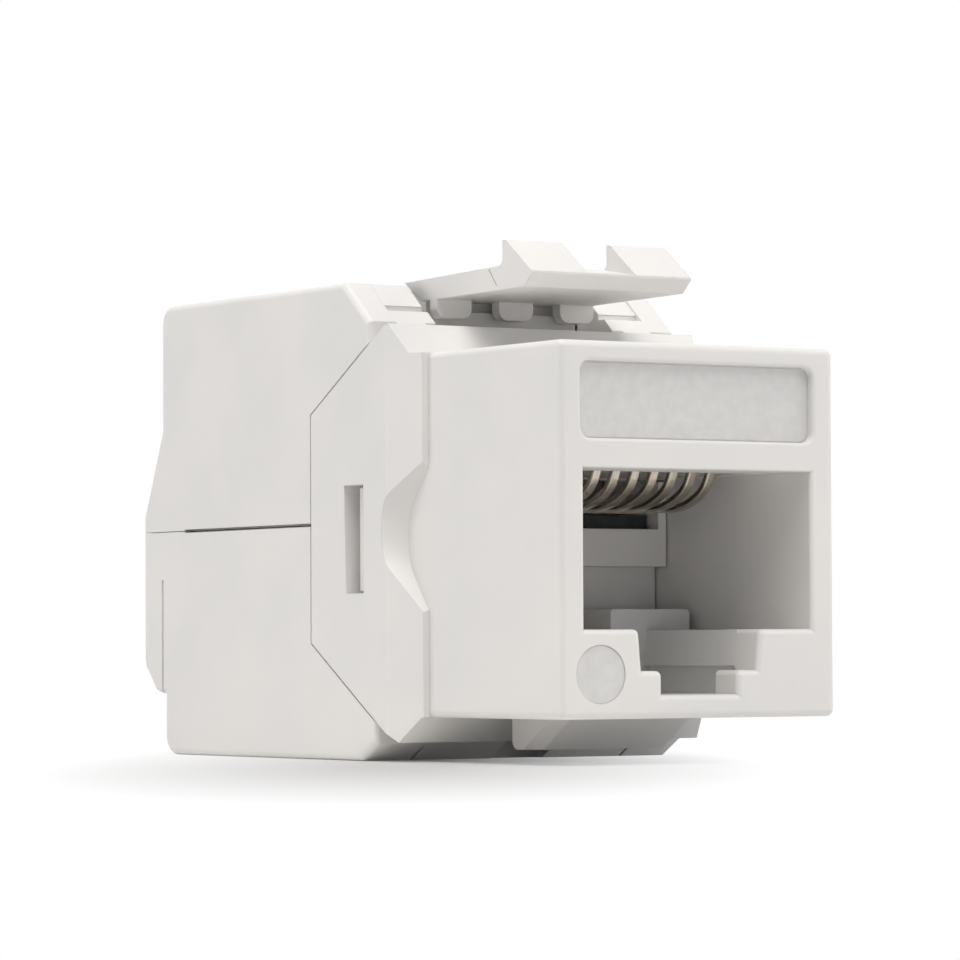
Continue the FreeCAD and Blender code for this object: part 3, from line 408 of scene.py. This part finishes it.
sweep, tree, output = new_material("white_paper_sweep")
paper = add(tree, "ShaderNodeBsdfDiffuse", {"Color": linear(SWEEP_TONE)})
# Painted shade: the darker grey paper the eye sees round the jack's foot, laid in the oval below.
painted_shade_paper = add(tree, "ShaderNodeBsdfDiffuse", {"Color": linear(SWEEP_PAINTED_SHADE_TONE)})
painted_shade_oval = add(tree, "ShaderNodeMapping", {
    "Vector": add(tree, "ShaderNodeTexCoord").outputs["Object"],
    "Location": (PAINTED_SHADE_X, PAINTED_SHADE_Y, 0.0), "Rotation": (0.0, 0.0, math.radians(PAINTED_SHADE_TURN)),
    "Scale": (PAINTED_SHADE_HALF_W, PAINTED_SHADE_HALF_L, 1.0)}, vector_type="TEXTURE")
painted_shade_reach = add(tree, "ShaderNodeVectorMath", {0: painted_shade_oval.outputs[0]}, operation="LENGTH")
painted_shade_fade = add(tree, "ShaderNodeMapRange", {
    "Value": painted_shade_reach.outputs["Value"], "From Min": PAINTED_SHADE_CORE, "From Max": 1.0})
far = add(tree, "ShaderNodeEmission", {"Color": linear("#FFFFFF"), "Strength": 1.0})
spread = add(tree, "ShaderNodeMixShader", {
    0: painted_shade_fade.outputs[0], 1: painted_shade_paper.outputs[0], 2: far.outputs[0]})
seen = add(tree, "ShaderNodeMixShader", {
    0: seen_rays(tree), 1: paper.outputs[0], 2: spread.outputs[0]})
tree.links.new(seen.outputs[0], output.inputs["Surface"])
table_mesh = bpy.data.meshes.new("table")
corners = [(x * SWEEP_HALF, y * SWEEP_HALF, 0) for x, y in ((-1, -1), (1, -1), (1, 1), (-1, 1))]
table_mesh.from_pydata(corners, [], [(0, 1, 2, 3)])
table_mesh.materials.append(sweep)
table = bpy.data.objects.new("table", table_mesh)
scene.collection.objects.link(table)
table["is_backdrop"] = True

# ------------------------------------------------------------------------------------------------
# Studio. A large dim room of cool daylight and five soft warm lamps: one overhead, the main one
# high in front, one high at the left, and two low ones, at the right and far round to the left.
# ------------------------------------------------------------------------------------------------
ROOM_TONE = "#CBDAF8"
ROOM_STRENGTH = 0.18
LAMP_DISTANCE = 0.5
LAMP_TONE = "#FFFBF5"
LAMPS = (
    # name, azimuth, elevation, size in metres, power in watts
    ("overhead_lamp", 0, 86, 0.25, 0.78),
    ("high_front_lamp", -20, 58, 0.3, 1.18),
    ("high_left_lamp", -90, 60, 0.3, 0.56),
    ("right_lamp", 60, 15, 0.35, 0.78),
    ("far_left_lamp", -120, 12, 0.35, 0.58),
)

world = bpy.data.worlds.new("studio")
scene.world = world
world.use_nodes = True
tree = world.node_tree
tree.nodes.clear()
output = tree.nodes.new("ShaderNodeOutputWorld")
room = add(tree, "ShaderNodeBackground", {"Color": linear(ROOM_TONE), "Strength": ROOM_STRENGTH})
white = add(tree, "ShaderNodeBackground", {"Color": linear("#FFFFFF"), "Strength": 1.0})
seen = add(tree, "ShaderNodeMixShader", {
    0: seen_rays(tree), 1: room.outputs[0], 2: white.outputs[0]})
tree.links.new(seen.outputs[0], output.inputs["Surface"])

lowest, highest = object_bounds()
centre = Vector((0, 0, highest[2] / 2))


def toward(azimuth, elevation):
    """Unit vector from the jack; azimuth 0 points out of the plug face."""
    a, e = math.radians(azimuth), math.radians(elevation)
    return Vector((math.sin(a) * math.cos(e), -math.cos(a) * math.cos(e), math.sin(e)))


for name, azimuth, elevation, size, power in LAMPS:
    data = bpy.data.lights.new(name, "AREA")
    data.size = size
    data.energy = power
    data.color = linear(LAMP_TONE)[:3]
    lamp = bpy.data.objects.new(name, data)
    lamp.location = centre + LAMP_DISTANCE * toward(azimuth, elevation)
    lamp.rotation_euler = (centre - lamp.location).to_track_quat("-Z", "Y").to_euler()
    scene.collection.objects.link(lamp)

# ------------------------------------------------------------------------------------------------
# Camera. A long lens just above the table, turned towards the plug face's left corner and
# looking very slightly up.
# ------------------------------------------------------------------------------------------------
CAMERA_AZIMUTH = -32.67
CAMERA_ELEVATION = -2.08
CAMERA_ROLL = -0.26
CAMERA_DISTANCE = 198.0 * MM
CAMERA_LENS = 173.4
CAMERA_SENSOR = 36.0
CAMERA_NEAR = 1.0 * MM
AIM_FROM_FRONT = 4.77 * MM
AIM_X = -8.13 * MM
AIM_Z = 12.19 * MM

aim = Vector((AIM_X, lowest[1] + AIM_FROM_FRONT, AIM_Z))
back = toward(CAMERA_AZIMUTH, CAMERA_ELEVATION)
right = Vector((0, 0, 1)).cross(back).normalized()
up = back.cross(right)
roll = math.radians(CAMERA_ROLL)
right_rolled = math.cos(roll) * right + math.sin(roll) * up
up_rolled = math.cos(roll) * up - math.sin(roll) * right
camera_data = bpy.data.cameras.new("camera")
camera_data.lens = CAMERA_LENS
camera_data.sensor_width = CAMERA_SENSOR
camera_data.clip_start = CAMERA_NEAR
camera = bpy.data.objects.new("camera", camera_data)
axes = Matrix((right_rolled, up_rolled, back)).transposed().to_4x4()
camera.matrix_world = Matrix.Translation(aim + back * CAMERA_DISTANCE) @ axes
scene.collection.objects.link(camera)
scene.camera = camera
scene.view_settings.view_transform = "Standard"
